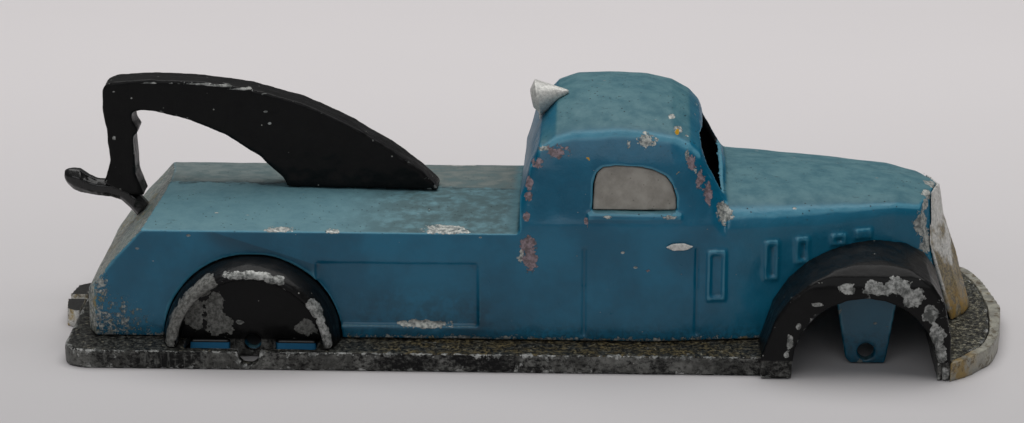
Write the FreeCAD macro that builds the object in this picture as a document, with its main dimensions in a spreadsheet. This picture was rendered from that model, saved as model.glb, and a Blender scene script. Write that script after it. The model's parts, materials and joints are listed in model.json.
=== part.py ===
import FreeCAD, Part
import os
import re
import Sketcher

# Toy tow truck, hollow die-cast, about 119 mm long.
# Frame: mm, +X to the front bumper, +Z up, origin under the middle of the truck on its base.

V = FreeCAD.Vector
doc = FreeCAD.newDocument("toy_tow_truck")

# ---------------------------------------------------------------- spreadsheet
SIZES = {
    "wall": 1.3,              # casting wall of the blue shell
    "base_top": 2.4,          # top of the running boards
    "floor_low": 1.1,         # underside of the chassis floor
    "board_half": 21.15,      # running board half width
    "fender_half": 22.3,      # outer face of the front fenders
    "bed_half": 15.8,
    "bed_edge": 16.1,         # height of the bed side edges
    "bed_ridge": 17.9,        # height of the bed on the centreline
    "bed_front": -1.2,
    "jib_thick": 4.3,
    "lamp_radius": 2.3,
    "axle_radius": 1.0,
    "axle_height": 1.7,       # front axle
    "rear_axle_height": 2.0,
    "front_axle": 41.4,
    "rear_axle": -34.0,
    "lug_outer": 16.4,
    "lug_inner": 14.8,
    "rear_lug_outer": 15.4,
    "rear_lug_inner": 14.0,
    "well_radius": 8.1,
    "panel_inset": 0.6,       # window panels sit this far behind the door skin
    "bumper_top": 2.4,
}
sheet = doc.addObject("Spreadsheet::Sheet", "sizes")
for row, (alias, value) in enumerate(SIZES.items(), start=1):
    sheet.set(f"B{row}", str(value))
    sheet.setAlias(f"B{row}", alias)
doc.recompute()


def size(text):
    """A number from a number or from an expression on the spreadsheet's aliases."""
    if isinstance(text, str):
        return float(sheet.evalExpression(text))
    return float(text)


def bind(text):
    """The same expression as the other objects must write it."""
    return re.sub(r"\b(" + "|".join(SIZES) + r")\b", r"sizes.\1", text)


def plane(body, role):
    return next(o for o in body.Origin.OriginFeatures if o.Role == role)


def sketch_on(body, name, role, offset=0.0):
    sketch = body.newObject("Sketcher::SketchObject", name)
    sketch.AttachmentSupport = [(plane(body, role), "")]
    sketch.MapMode = "FlatFace"
    sketch.AttachmentOffset = FreeCAD.Placement(V(0, 0, size(offset)), FreeCAD.Rotation())
    if isinstance(offset, str):
        sketch.setExpression("AttachmentOffset.Base.z", bind(offset))
    return sketch


def fix_point(sketch, geo, end, point):
    """Place a vertex; coordinates given as expressions stay bound to the spreadsheet."""
    for kind, value in zip(("DistanceX", "DistanceY"), point):
        at = sketch.addConstraint(Sketcher.Constraint(kind, -1, 1, geo, end, size(value)))
        if isinstance(value, str):
            sketch.setExpression(f"Constraints[{at}]", bind(value))


def outline(body, name, role, points, offset=0.0):
    """Closed sketch through the points."""
    sketch = sketch_on(body, name, role, offset)
    spots = [V(size(a), size(b), 0) for a, b in points]
    for a, b in zip(spots, spots[1:] + spots[:1]):
        sketch.addGeometry(Part.LineSegment(a, b))
    count = len(points)
    for i in range(count):
        sketch.addConstraint(Sketcher.Constraint("Coincident", i, 2, (i + 1) % count, 1))
        fix_point(sketch, i, 1, points[i])
    return sketch


def ring(body, name, role, centre, radius, offset=0.0):
    """Circle sketch."""
    sketch = sketch_on(body, name, role, offset)
    spot = V(size(centre[0]), size(centre[1]), 0)
    sketch.addGeometry(Part.Circle(spot, V(0, 0, 1), size(radius)))
    at = sketch.addConstraint(Sketcher.Constraint("Radius", 0, size(radius)))
    if isinstance(radius, str):
        sketch.setExpression(f"Constraints[{at}]", bind(radius))
    fix_point(sketch, 0, 3, centre)
    return sketch


def body_of(name):
    return doc.addObject("PartDesign::Body", name)


def pad(body, sketch, length, name, midplane=True, reverse=False):
    feature = body.newObject("PartDesign::Pad", name)
    feature.Profile = sketch
    feature.SideType = "Symmetric" if midplane else "One side"
    feature.Reversed = reverse
    feature.Length = size(length)
    if isinstance(length, str):
        feature.setExpression("Length", bind(length))
    return feature


def block(name, role, points, length, offset=0.0):
    """A body with one symmetric pad."""
    body = body_of(name)
    pad(body, outline(body, name + "_line", role, points, offset), length, name + "_pad")
    return body


def arc(centre, radius, start, stop, steps):
    """Points on an arc, degrees from +X, for outlines."""
    turn = FreeCAD.Rotation
    spots = []
    for i in range(steps + 1):
        angle = start + (stop - start) * i / steps
        spot = turn(V(0, 0, 1), angle).multVec(V(radius, 0, 0))
        spots.append((centre[0] + spot.x, centre[1] + spot.y))
    return spots


def eased(line, rounds=2):
    """An open line with its corners cut off and its ends kept."""
    for _ in range(rounds):
        cut = [line[0]]
        for (a, b), (c, d) in zip(line, line[1:]):
            cut += [(0.75 * a + 0.25 * c, 0.75 * b + 0.25 * d), (0.25 * a + 0.75 * c, 0.25 * b + 0.75 * d)]
        line = cut + [line[-1]]
    return line


def mirror_y(name, source):
    copy = doc.addObject("Part::Mirroring", name)
    copy.Source = source
    copy.Normal = V(0, 1, 0)
    return copy


def join(name, pieces):
    both = doc.addObject("Part::MultiFuse", name)
    both.Shapes = pieces
    both.Refine = False
    return both


def common(name, pieces):
    both = doc.addObject("Part::MultiCommon", name)
    both.Shapes = pieces
    both.Refine = False
    return both


def less(name, base, tools):
    tool = tools[0] if len(tools) == 1 else join(name + "_tools", tools)
    cut = doc.addObject("Part::Cut", name)
    cut.Base = base
    cut.Tool = tool
    cut.Refine = False
    return cut


# ------------------------------------------------------------ lofted shell
def drawn_in(width, height, crown, inset):
    """A point of a cross-section moved in by inset: sideways on the flanks, down under the crown."""
    lean = min(max((height - 17.0) / max(crown - 17.0, 1.0), 0.0), 1.0)
    return V(width - inset * (1.0 - 0.45 * lean), height - inset * lean, 0)


def section(body, name, station, foot, spots, inset):
    """Cross-section on a YZ plane: straight flanks, a spline over the top."""
    low = size("base_top") - (3.0 if inset else 0.0)
    top_height = spots[-1][1]
    over = [drawn_in(w, z, top_height, inset) for w, z in spots[:-1]]
    crown = V(0, top_height - inset, 0)
    left = [V(-p.x, p.y, 0) for p in reversed(over)]
    sketch = sketch_on(body, name, "YZ_Plane", station)
    feet = [V(foot - inset, low, 0), V(inset - foot, low, 0)]
    top = Part.BSplineCurve()
    top.interpolate(over + [crown] + left)
    sketch.addGeometry(Part.LineSegment(feet[0], over[0]))
    sketch.addGeometry(top)
    sketch.addGeometry(Part.LineSegment(left[-1], feet[1]))
    sketch.addGeometry(Part.LineSegment(feet[1], feet[0]))
    for geo in range(4):
        sketch.addConstraint(Sketcher.Constraint("Coincident", geo, 2, (geo + 1) % 4, 1))
    for geo, spot in ((0, feet[0]), (1, over[0]), (2, left[-1]), (3, feet[1])):
        fix_point(sketch, geo, 1, (spot.x, spot.y))
    return sketch


def shell_form(name, stations, inset=0.0):
    """Ruled loft through the cross-sections."""
    body = body_of(name)
    loft = body.newObject("PartDesign::AdditiveLoft", name + "_loft")
    rows = []
    for i, (x, foot, spots) in enumerate(stations):
        rows.append(section(body, f"{name}_s{i}", x, foot, spots, inset))
    loft.Profile = rows[0]
    loft.Sections = rows[1:]
    loft.Ruled = True
    loft.Closed = False
    return body


def cab_row(x, crown, edge, width, belt=15.6, foot=15.9):
    drop = crown - edge
    low = (belt, min(17.2, edge - 4.0))
    high = (width + 0.3, edge - 1.1)
    return (x, foot, [
        low,
        ((low[0] + high[0]) / 2 + 0.12, (low[1] + high[1]) / 2),
        high,
        (width - 0.35, edge + 0.1),
        (width * 0.84, edge + drop * 0.36),
        (width * 0.48, edge + drop * 0.80),
        (0.0, crown),
    ])


CAB = [
    cab_row(-1.2, 20.5, 20.1, 14.5),
    cab_row(0.0, 25.0, 24.1, 13.9),
    cab_row(1.2, 28.4, 26.3, 13.6),
    cab_row(3.2, 30.8, 27.5, 13.3),
    cab_row(5.6, 31.7, 28.0, 13.3),
    cab_row(9.6, 31.9, 28.2, 13.3),
    cab_row(14.4, 31.7, 28.1, 13.3),
    cab_row(17.4, 31.0, 27.5, 13.2, 15.4, 15.65),
    cab_row(19.6, 29.7, 26.5, 13.1, 15.2, 15.35),
    cab_row(20.9, 28.3, 25.2, 13.0, 15.05, 15.2),
    cab_row(22.4, 24.8, 22.5, 13.0, 14.85, 15.02),
    cab_row(24.2, 21.4, 19.4, 12.9, 14.65, 14.85),
]


def hood_row(x, foot, belt, shoulder, mid, crown):
    return (x, foot, [belt, shoulder, mid, (0.0, crown)])


HOOD = [
    hood_row(24.2, 14.85, (14.6, 16.7), (13.1, 19.1), (7.1, 20.8), 21.4),
    hood_row(30.0, 13.9, (13.4, 16.6), (12.1, 18.9), (6.5, 20.55), 21.1),
    hood_row(38.0, 12.0, (11.5, 16.5), (10.5, 18.7), (5.6, 20.05), 20.55),
    hood_row(44.9, 9.9, (9.5, 16.3), (9.0, 18.4), (4.9, 19.5), 19.95),
    hood_row(48.6, 8.5, (8.1, 16.1), (7.7, 17.7), (4.2, 18.85), 19.35),
    hood_row(50.6, 7.6, (7.3, 15.8), (6.7, 17.2), (3.6, 18.3), 18.8),
    hood_row(54.4, 6.0, (5.8, 13.8), (5.3, 14.8), (3.0, 15.6), 16.0),
]

# ---------------------------------------------------------------- bed
BED_SIDE = [(-55.8, "base_top"), (-55.7, 5.2), (-54.6, 8.0), (-51.4, 12.0), (-45.9, "bed_ridge"),
            (-30.0, "bed_ridge - 0.1"), ("bed_front", "bed_ridge - 0.6"), ("bed_front", "base_top")]
BED_END = [("-bed_half", "base_top"), ("bed_half", "base_top"), ("bed_half - 0.25", "bed_edge"),
           (6.0, "bed_ridge - 0.3"), (0.0, "bed_ridge"), (-6.0, "bed_ridge - 0.3"),
           ("-bed_half + 0.25", "bed_edge")]
BED_PLAN = [("bed_front", -16.5), ("bed_front", 16.5), (-53.2, 16.5), (-53.6, 15.6), (-54.6, 13.6),
            (-55.3, 9.5), (-55.8, 3.0), (-55.8, -3.0), (-55.3, -9.5), (-54.6, -13.6),
            (-53.6, -15.6), (-53.2, -16.5)]
bed_form = common("bed_form", [
    block("bed_side", "XZ_Plane", BED_SIDE, 40.0),
    block("bed_end", "YZ_Plane", BED_END, 120.0),
    block("bed_plan", "XY_Plane", BED_PLAN, 60.0),
])
BED_CAVE_SIDE = [(-53.4, -1.0), (-53.4, 7.2), (-45.8, "bed_edge - wall"),
                 ("bed_front - wall", "bed_edge - wall"), ("bed_front - wall", -1.0)]
bed_cave = block("bed_cave", "XZ_Plane", BED_CAVE_SIDE, "2 * (bed_half - wall)")

cab_form = shell_form("cab_form", CAB)
hood_long = shell_form("hood_long", HOOD)


def prow_plan(corner, half, prow, back):
    """Plan of the bowed nose at one height, closed at the back inside the hood."""
    side = [back, (corner, half), (corner + 0.62 * (prow - corner), half * 0.56)]
    return [(x, -y) for x, y in side] + [(prow, 0.0)] + side[::-1]


def prow_form(name, rows, back=None):
    """Ruled loft through plans given as (height, corner, half width, prow)."""
    body = body_of(name)
    loft = body.newObject("PartDesign::AdditiveLoft", name + "_loft")
    plans = []
    for n, (z, corner, half, prow) in enumerate(rows):
        plan = prow_plan(corner, half, prow, back or (44.0, half))
        plans.append(outline(body, f"{name}_s{n}", "XY_Plane", plan, z))
    loft.Profile = plans[0]
    loft.Sections = plans[1:]
    loft.Ruled = True
    return body


NOSE = [(24.0, 46.0, 9.5, 50.3), (19.4, 47.0, 9.5, 50.7), (16.6, 47.7, 9.5, 50.8),
        (10.2, 49.6, 8.6, 51.3), (2.1, 52.2, 7.6, 53.1), (0.0, 52.7, 7.4, 53.6)]
GRILLE = [(18.6, 48.4, 6.7, 51.2), (14.6, 49.1, 7.2, 51.9), (9.9, 50.7, 6.9, 53.55),
          (6.0, 51.9, 6.4, 54.65), (2.4, 53.0, 5.6, 55.7)]
nose_form = prow_form("nose_form", NOSE, (15.0, 26.0))
hood_form = common("hood_form", [hood_long, nose_form])
WALL = size("wall")
CAB_IN = [row for row in CAB if 0.5 < row[0]]
HOOD_IN = [row for row in HOOD if row[0] < 49.0]
cab_cave = shell_form("cab_cave", CAB_IN, WALL)
hood_cave = shell_form("hood_cave", HOOD_IN, WALL)

# windows and windscreen
WINDOW = [(7.75, 18.9), (18.0, 18.9), (17.95, 20.5), (17.5, 22.0), (16.6, 23.2), (15.2, 23.9),
          (13.2, 24.3), (10.5, 24.4), (9.0, 24.2), (8.2, 23.4), (7.9, 22.2)]
window_slot = block("window_slot", "XZ_Plane", WINDOW, 60.0)
SCREEN_END = [(-11.9, 20.4), (-11.6, 24.2), (-10.6, 26.0), (-8.4, 26.9), (8.4, 26.9), (10.6, 26.0),
              (11.6, 24.2), (11.9, 20.4), (7.0, 21.7), (0.0, 22.3), (-7.0, 21.7)]
SCREEN_SIDE = [(18.6, 20.0), (18.6, 27.5), (24.1, 27.5), (24.1, 20.0)]
screen_slot = common("screen_slot", [
    block("screen_end", "YZ_Plane", SCREEN_END, 60.0),
    block("screen_side", "XZ_Plane", SCREEN_SIDE, 60.0),
])

# front axle bay cut right across the shell
FRONT_X = SIZES["front_axle"] - 0.5
BAY = ([(FRONT_X - 8.75, -2.0), (FRONT_X - 8.75, 1.5)]
       + arc((FRONT_X, 1.5), 8.75, 165, 15, 10)
       + [(FRONT_X + 8.75, 1.5), (FRONT_X + 8.75, -2.0)])
bay = block("bay", "XZ_Plane", BAY, 50.0)

# ------------------------------------------------------------- front axle bracket
LUG = [("front_axle - 1.9", 0.2), ("front_axle + 2.4", 0.2), ("front_axle + 4.0", 10.4),
       ("front_axle + 4.0", 11.6), ("front_axle - 4.2", 11.6), ("front_axle - 4.2", 10.4),
       ("front_axle - 2.5", 0.8)]
LUG_GAP = [(30.0, -1.0), (55.0, -1.0), (55.0, 10.4), (30.0, 10.4)]
front_bar = block("front_bar", "XZ_Plane", LUG, "2 * lug_outer")
front_gap = block("front_gap", "XZ_Plane", LUG_GAP, "2 * lug_inner")
front_hole = body_of("front_hole")
pad(front_hole, ring(front_hole, "front_hole_ring", "XZ_Plane", ("front_axle", "axle_height"),
                     "axle_radius"), 34.0, "front_hole_pad")
front_bracket = less("front_axle_bracket", front_bar, [front_gap, front_hole])

# ------------------------------------------------------------- rear axle bracket
CHEEK = [("rear_axle - 8.0", 0.2), ("rear_axle + 8.0", 0.2), ("rear_axle + 7.0", 8.6),
         ("rear_axle - 7.0", 8.6)]
CHEEK_GAP = [(-50.0, 4.5), (-20.0, 4.5), (-20.0, 12.0), (-50.0, 12.0)]
CHEEK_LOW = [(-50.0, -1.0), (-20.0, -1.0), (-20.0, 3.3), (-50.0, 3.3)]
rear_bar = block("rear_bar", "XZ_Plane", CHEEK, "2 * rear_lug_outer")
rear_gap = block("rear_gap", "XZ_Plane", CHEEK_GAP, "2 * rear_lug_inner")
rear_low = block("rear_low", "XZ_Plane", CHEEK_LOW, "2 * rear_lug_inner")
rear_hole = body_of("rear_axle")
pad(rear_hole, ring(rear_hole, "rear_hole_ring", "XZ_Plane", ("rear_axle", "rear_axle_height"),
                    "axle_radius"), 34.0, "rear_hole_pad")
# foot of the cheeks, seen as a blue strip under the wall of each rear arch
FOOT = [("rear_axle - 7.9", 0.2), ("rear_axle + 7.9", 0.2), ("rear_axle + 7.8", 2.3),
        ("rear_axle - 7.8", 2.3)]
foot = block("foot", "XZ_Plane", FOOT, 32.4)
# room in the skirts of the running boards to slide the rear axle in
NOTCH = [("rear_axle - 0.6", 0.85), ("rear_axle + 0.6", 0.85), ("rear_axle + 1.2", 1.5),
         ("rear_axle + 1.2", 4.0), ("rear_axle - 1.2", 4.0), ("rear_axle - 1.2", 1.5)]
notch = block("notch", "XZ_Plane", NOTCH, 46.0)


# ------------------------------------------------------------- rear arches
def turned(name, profile, axle):
    """Half ring about a crosswise axle: profile is (radius, distance out)."""
    body = body_of(name)
    points = [(out, radius) for radius, out in profile]
    sketch = sketch_on(body, name + "_line", "YZ_Plane", axle)
    spots = [V(-a, b + size("rear_axle_height"), 0) for a, b in points]
    for a, b in zip(spots, spots[1:] + spots[:1]):
        sketch.addGeometry(Part.LineSegment(a, b))
    for i in range(len(spots)):
        sketch.addConstraint(Sketcher.Constraint("Coincident", i, 2, (i + 1) % len(spots), 1))
        fix_point(sketch, i, 1, (spots[i].x, spots[i].y))
    line = sketch_on(body, name + "_axis", "YZ_Plane", axle)
    middle = size("rear_axle_height")
    line.addGeometry(Part.LineSegment(V(-30, middle, 0), V(30, middle, 0)))
    turn = body.newObject("PartDesign::Revolution", name + "_turn")
    turn.Profile = sketch
    turn.ReferenceAxis = (line, ["Edge1"])
    turn.Angle = 360.0
    return body


ARCH = [(8.8, 14.9), (11.0, 14.9), (11.0, 16.1), (10.9, 17.3), (10.6, 18.7), (10.25, 19.7),
        (9.9, 20.15), (9.4, 20.25), (9.0, 20.0)]
arch_ring = turned("arch_ring", ARCH, "rear_axle")
WALL_DISC = [(0.0, 15.4), (9.3, 15.4), (9.3, 16.4), (0.0, 16.4)]
arch_disc = turned("arch_disc", WALL_DISC, "rear_axle")
UPPER = [(-60.0, "base_top"), (0.0, "base_top"), (0.0, 30.0), (-60.0, 30.0)]
TAB = [("rear_axle - 2.9", 0.2), ("rear_axle + 2.9", 0.2), ("rear_axle + 2.9", 3.0),
       ("rear_axle - 2.9", 3.0)]
above = block("above", "XZ_Plane", UPPER, 60.0)
tab = body_of("tab")
pad(tab, outline(tab, "tab_line", "XZ_Plane", TAB, 15.4), 1.0, "tab_pad", False)
arch_upper = common("arch_upper", [join("arch_both", [arch_ring, arch_disc]), above])
arch_right = join("arch_right", [arch_upper, tab])
arch_left = mirror_y("arch_left", arch_right)
rear_feet = less("rear_feet", foot, [arch_right, arch_left])
rear_bracket = less("rear_axle_bracket", join("rear_solid", [rear_bar, rear_feet]),
                    [rear_gap, rear_low, rear_hole])
ARCH_HOLE = [(0.0, 13.0), (11.0, 13.0), (11.0, 22.0), (0.0, 22.0)]
arch_hole = turned("arch_hole", ARCH_HOLE, "rear_axle")
arch_hole_left = mirror_y("arch_hole_left", arch_hole)


# ------------------------------------------------------------- chassis plate
def plan_board(grow):
    """Plan of the running boards, drawn in by grow."""
    half = SIZES["board_half"] - grow
    rear = -57.1 + grow
    corner = 3.4 - 0.6 * grow
    right = arc((rear + corner, -half + corner), corner, 180, 270, 5)
    left = arc((rear + corner, half - corner), corner, 90, 180, 5)
    return right + [(30.4 - 0.5 * grow, -half), (30.4 - 0.5 * grow, half)] + left


board = body_of("board")
pad(board, outline(board, "board_line", "XY_Plane", plan_board(0.0)), "base_top", "board_pad", False)
board_cave = body_of("board_cave")
pad(board_cave, outline(board_cave, "board_cave_line", "XY_Plane", plan_board(1.5), -1.0),
    "floor_low + 1", "board_cave_pad", False)

# slots in the running boards under the rear wheel arches
SLOT = [("rear_axle - well_radius", -15.4), ("rear_axle + well_radius", -15.4),
        ("rear_axle + well_radius", -19.7), ("rear_axle - well_radius", -19.7)]
slot_right = block("slot_right", "XY_Plane", SLOT, 4.9)
slot_left = mirror_y("slot_left", slot_right)
# the skirt of each running board outside its slot
SKIRT = [("rear_axle - well_radius", -19.7), ("rear_axle + well_radius", -19.7),
         ("rear_axle + well_radius", -22.0), ("rear_axle - well_radius", -22.0)]
skirt_block = block("skirt_block", "XY_Plane", SKIRT, 5.1)
skirt_block_left = mirror_y("skirt_block_left", skirt_block)
# everything behind the rear axle
AFT = [(-62.0, -24.0), ("rear_axle", -24.0), ("rear_axle", 24.0), (-62.0, 24.0)]
aft = block("aft", "XY_Plane", AFT, 5.3)

# the middle of the nose, kept clear of the fenders
nose_core = block("nose_core", "XY_Plane", [(24.0, -5.5), (54.0, -5.5), (54.0, 5.5), (24.0, 5.5)],
                  60.0)

# front apron with the legs of the fenders
APRON = [(48.6, 22.3), (50.4, 22.2), (52.6, 19.8), (54.4, 16.8), (55.5, 15.6), (56.6, 11.8),
         (57.3, 8.0), (57.8, 0.0)]
APRON = eased(APRON)
APRON_PLAN = APRON + [(a, -b) for a, b in reversed(APRON[:-1])]
apron = body_of("apron")
pad(apron, outline(apron, "apron_line", "XY_Plane", APRON_PLAN), "bumper_top", "apron_pad", False)

# front fenders: rolled skin over an open wheel well
FENDER = [(28.2, 0.0), (28.3, 2.8), (29.9, 7.6), (31.8, 10.3), (34.3, 12.3), (37.1, 13.6),
          (40.0, 14.25), (43.0, 14.35), (46.3, 13.7), (48.8, 12.2), (50.4, 9.8), (51.3, 5.5),
          (51.3, 0.0)]
FENDER_IN = [(30.4, -1.0), (30.4, 3.2), (31.4, 7.0), (33.0, 9.3), (35.1, 11.0), (37.5, 12.1),
             (40.2, 12.7), (42.9, 12.8), (45.6, 12.3), (47.6, 11.1), (48.9, 9.2), (49.6, 5.3),
             (49.6, -1.0)]
fender_skin = block("fender_skin", "XZ_Plane", FENDER, "2 * fender_half")
fender_cave = block("fender_cave", "XZ_Plane", FENDER_IN, "2 * (fender_half - 1.7)")
CROWN = [(-22.3, 0.0), (22.3, 0.0), (22.3, 11.6), (21.8, 13.0), (20.6, 14.0), (18.6, 14.5),
         (-18.6, 14.5), (-20.6, 14.0), (-21.8, 13.0), (-22.3, 11.6)]
fender_crown = block("fender_crown", "YZ_Plane", CROWN, 160.0)
fender_form = common("fender_form", [fender_skin, fender_crown])
fenders = less("fenders", fender_form, [fender_cave, bay])

# ------------------------------------------------------------- blue shell
front_bar_seat = block("front_bar_seat", "XZ_Plane",
                       [(37.2, 10.0), (45.4, 10.0), (45.4, 11.6), (37.2, 11.6)], 40.0)
VENTS = [(21.9, 24.1, 7.7, 13.9), (28.9, 30.6, 10.0, 14.8), (32.7, 34.4, 11.9, 15.0),
         (37.1, 38.9, 13.9, 15.2), (40.1, 42.2, 14.5, 15.6)]


def relief(name, left, right, low, high, depth):
    """A rectangle seen from the side, running right across."""
    box = [(left, low), (right, low), (right, high), (left, high)]
    return block(name, "XZ_Plane", box, depth)


def scaled_rows(rows, grow):
    """The same cross-sections, with the flanks moved out by grow."""
    out = []
    for x, foot, spots in rows:
        moved = [(w + grow if w > 0.1 else 0.0, z) for w, z in spots]
        out.append((x, foot + grow, moved))
    return out


hood_proud = shell_form("hood_proud", scaled_rows(HOOD[:4], 0.3))
cab_proud = shell_form("cab_proud", scaled_rows(CAB[4:], 0.3))
knob_proud = shell_form("knob_proud", scaled_rows(CAB[4:], 0.45))
bead = 0.38
frames = []
for n, (left, right, low, high) in enumerate(VENTS):
    outer = relief(f"vent{n}_out", left, right, low, high, 40.0)
    inner = relief(f"vent{n}_in", left + bead, right - bead, low + bead, high - bead, 42.0)
    frames.append(less(f"vent{n}", outer, [inner]))
sill = relief("sill", 7.2, 18.6, 17.9, 18.6, 40.0)
cab_bead = common("cab_bead", [join("cab_beads", [frames[0], sill]), cab_proud])
hood_beads = common("hood_beads", [join("vent_frames", frames[1:]), hood_proud])
panel_cut = less("panel_cut", relief("panel_box", -26.2, -6.2, 4.1, 12.2, 40.0),
                 [block("panel_keep", "XZ_Plane", [(-27.0, 4.0), (-5.0, 4.0), (-5.0, 13.0),
                                                   (-27.0, 13.0)], "2 * (bed_half - 0.45)")])
lines = []
for n, (x, keep) in enumerate(((6.8, 31.2), (20.6, 30.0))):
    lines.append(less(f"door{n}", relief(f"door{n}_box", x - 0.12, x + 0.12, 3.2, 14.2, 40.0),
                      [relief(f"door{n}_keep", x - 1.0, x + 1.0, 1.0, 20.0, keep)]))
over_base = block("over_base", "XZ_Plane", [(-60.0, "base_top"), (60.0, "base_top"), (60.0, 40.0),
                                            (-60.0, 40.0)], 60.0)

bed = less("bed_shell", bed_form, [bed_cave, panel_cut, arch_hole, arch_hole_left])
cab_cut = less("cab_cut", join("cab_whole", [cab_form, cab_bead]),
               [cab_cave, window_slot, screen_slot] + lines)
cab = common("cab_shell", [cab_cut, over_base])
hood_whole = join("hood_whole", [hood_form, hood_beads])
hood_cut = less("hood_cut", hood_whole, [hood_cave, bay, front_bar_seat])
hood = common("hood_shell", [hood_cut, over_base])

# door handles stand on the flanks
HANDLE = [(16.7, 14.6), (17.6, 15.05), (18.9, 15.1), (20.2, 14.65), (19.2, 14.2), (17.7, 14.15)]
handles = less("handles", common("handle_both", [block("handle_line", "XZ_Plane", HANDLE, 40.0),
                                                 knob_proud]), [cab_form])
right_half = block("right_half", "XZ_Plane", [(-70.0, -5.0), (70.0, -5.0), (70.0, 40.0),
                                              (-70.0, 40.0)], 30.0, 19.0)
left_half = mirror_y("left_half", right_half)
handle_right = common("door_handle_right", [handles, right_half])
handle_left = common("door_handle_left", [handles, left_half])

# ------------------------------------------------------------- window panels
cab_mid = shell_form("cab_mid", CAB_IN, SIZES["panel_inset"])
plug = common("plug", [window_slot, cab_mid])
plates = less("plates", plug, [cab_cave])
panel_right = common("window_panel_right", [plates, right_half])
panel_left = common("window_panel_left", [plates, left_half])

# ---------------------------------------------------------------- grille prow
grille_form = prow_form("grille_form", GRILLE)
grille = less("radiator_grille", grille_form, [nose_form])

# ------------------------------------------------------------- chassis
fork = block("fork", "XZ_Plane", [(30.4, -1.0), (49.6, -1.0), (49.6, 3.0), (30.4, 3.0)],
             "2 * (fender_half - 1.7)")
board_cuts = [board_cave, slot_right, slot_left, rear_bar, arch_right, arch_left, skirt_block,
              skirt_block_left, notch, foot]
plate_board = less("running_board_plate", board, board_cuts + [aft])
tail_board = less("tail_board_plate", common("board_aft", [board, aft]), board_cuts)
skirt_right = less("rear_skirt_right", common("skirt_bar_right", [board, skirt_block]),
                   [arch_right, notch])
skirt_left = less("rear_skirt_left", common("skirt_bar_left", [board, skirt_block_left]),
                  [arch_left, notch])
arch_r = less("rear_wheel_arch_right", arch_right, [rear_bar, rear_hole])
arch_l = less("rear_wheel_arch_left", arch_left, [rear_bar, rear_hole])
apron_node = less("front_apron", apron, [fork, bay])
fender_pair = less("fender_pair", fenders, [fork, board, apron, hood_whole, cab_form, nose_core,
                                            grille_form])
fender_right = common("front_fender_right", [fender_pair, right_half])
fender_left = common("front_fender_left", [fender_pair, left_half])

# ------------------------------------------------------------- front bumper and tow plate
BUMPER = [(51.0, 22.6), (53.6, 20.6), (55.7, 17.3), (56.7, 16.2), (57.9, 12.2), (58.6, 8.0),
          (59.5, 0.0)]
BUMPER = eased(BUMPER)
BUMPER_PLAN = BUMPER + [(a, -b) for a, b in reversed(BUMPER[:-1])] + [(40.0, -22.6), (40.0, 22.6)]
bumper_body = body_of("bumper_form")
pad(bumper_body, outline(bumper_body, "bumper_line", "XY_Plane", BUMPER_PLAN), "bumper_top",
    "bumper_pad", False)
bumper_back = block("bumper_back", "XY_Plane",
                    [(30.0, -30.0), (51.2, -30.0), (51.2, 30.0), (30.0, 30.0)], 20.0)
bumper = less("front_bumper", bumper_body, [apron, fender_form, bumper_back, grille_form])
PLATE = [(-53.0, -5.8), (-57.6, -5.8), (-58.9, -4.8), (-59.5, 0.0), (-58.9, 4.8), (-57.6, 5.8),
         (-53.0, 5.8)]
GROOVE = [(-60.5, -0.9), (-56.6, -0.9), (-56.6, 0.9), (-60.5, 0.9)]
plate_body = body_of("plate_form")
pad(plate_body, outline(plate_body, "plate_line", "XY_Plane", PLATE), "bumper_top", "plate_pad",
    False)
groove = block("groove", "XY_Plane", GROOVE, 1.6, "base_top")
plate = less("rear_tow_plate", plate_body, [groove, board])

# ------------------------------------------------------------- crane jib, hook, lamp
JIB = [(-54.05, 30.1), (-53.6, 30.85), (-52.4, 31.35), (-47.6, 31.7), (-41.6, 31.5), (-35.3, 30.65),
       (-29.1, 28.95), (-26.6, 27.85), (-22.6, 26.0), (-17.8, 23.1), (-13.8, 20.1), (-11.9, 18.2),
       (-11.2, 16.2), (-31.0, 16.2), (-30.8, 17.5), (-31.4, 18.9), (-34.2, 21.6), (-38.5, 24.4),
       (-43.0, 26.3), (-47.2, 27.35), (-49.3, 27.5), (-50.2, 27.2), (-50.1, 26.2), (-49.45, 25.1),
       (-49.6, 24.5), (-50.15, 24.3), (-50.0, 22.0), (-49.95, 19.3), (-48.9, 16.4), (-50.6, 16.5),
       (-52.4, 17.1), (-54.2, 18.1), (-53.75, 19.3), (-53.3, 21.1), (-53.6, 25.0), (-54.1, 27.6)]
jib_form = block("jib_form", "XZ_Plane", JIB, "jib_thick")
# hook bar: eight-sided cross-sections given as (station, height, half height, half width)
HOOK = [(-59.4, 18.6, 0.6, 0.6), (-59.0, 18.4, 1.05, 1.0), (-58.2, 18.1, 1.5, 1.35),
        (-57.3, 17.85, 1.63, 1.45), (-56.2, 17.35, 1.35, 1.25), (-55.2, 17.05, 1.2, 1.15),
        (-53.6, 16.9, 1.2, 1.15), (-52.2, 16.6, 1.35, 1.2), (-51.1, 15.85, 1.6, 1.25),
        (-50.2, 14.95, 1.85, 1.25), (-48.4, 12.9, 1.8, 1.2)]
hook_form = body_of("hook_form")
hook_loft = hook_form.newObject("PartDesign::AdditiveLoft", "hook_loft")
hook_rows = []
for n, (x, z, tall, wide) in enumerate(HOOK):
    rim = [(wide * a, z + tall * b) for a, b in arc((0.0, 0.0), 1.0, 22.5, 337.5, 7)]
    hook_rows.append(outline(hook_form, f"hook_s{n}", "YZ_Plane", rim, x))
hook_loft.Profile = hook_rows[0]
hook_loft.Sections = hook_rows[1:]
hook_loft.Ruled = True
hook = less("tow_hook", hook_form, [bed_form])
jib = less("crane_jib", jib_form, [bed_form, hook_form])

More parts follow.
